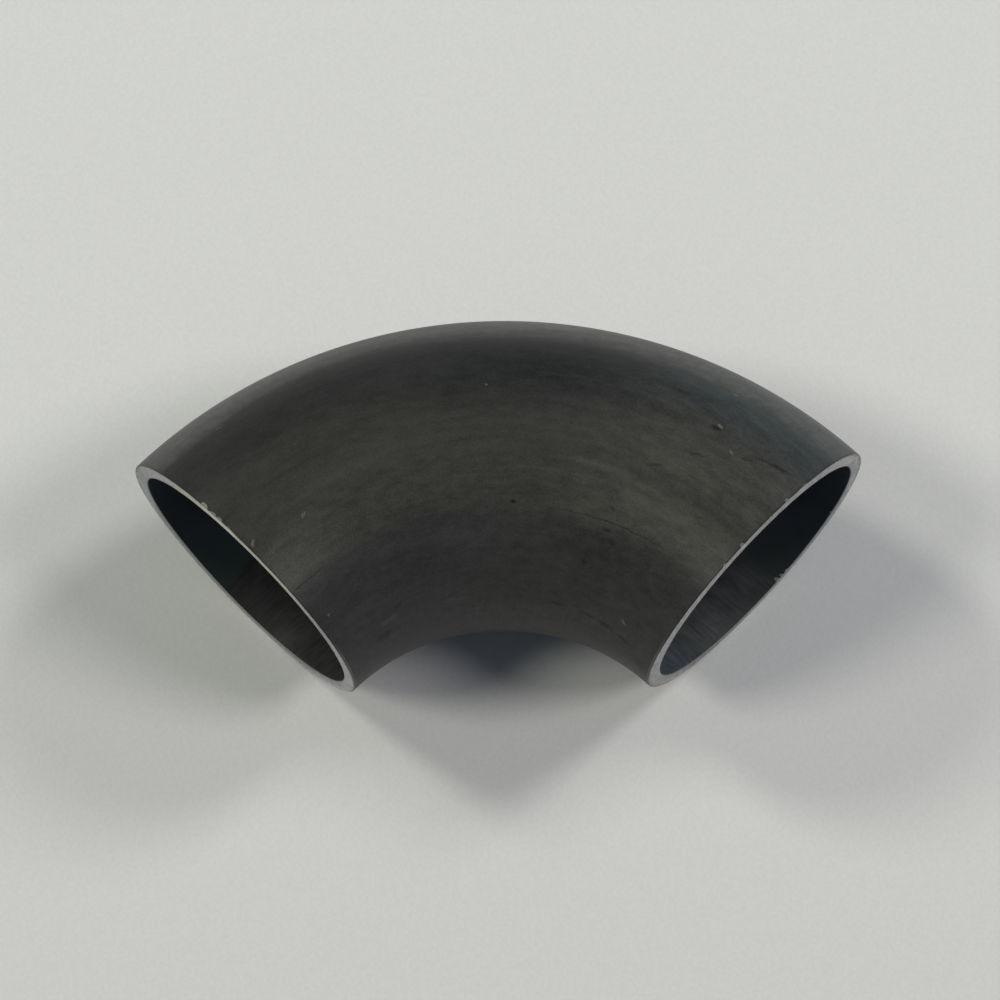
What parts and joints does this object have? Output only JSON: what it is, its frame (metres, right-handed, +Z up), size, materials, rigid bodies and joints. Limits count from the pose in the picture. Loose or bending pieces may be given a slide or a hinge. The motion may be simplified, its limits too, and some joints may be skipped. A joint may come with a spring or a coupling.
{
  "type": "steel pipe elbow",
  "caption": "Long-radius right-angle bend of round steel tube with an even wall, open right through, its ends cut square for butt welding; it lies flat on its side.",
  "frame": {"origin": "centre of the first end face, on the pipe's centreline", "axes": "the plane of the bend is level and +Z is up; the first end faces -Y, the pipe leaves it along +Y and bends towards -X, and the second end faces -X"},
  "size_m": [0.0801, 0.0801, 0.0482],
  "materials": {
    "mill_scale_steel": "dark grey mill scale from hot forming, scuffed, with bare bright metal on the cut ends"
  },
  "bodies": {
    "root": {"elbow": "mill_scale_steel"}
  },
  "joints": []
}
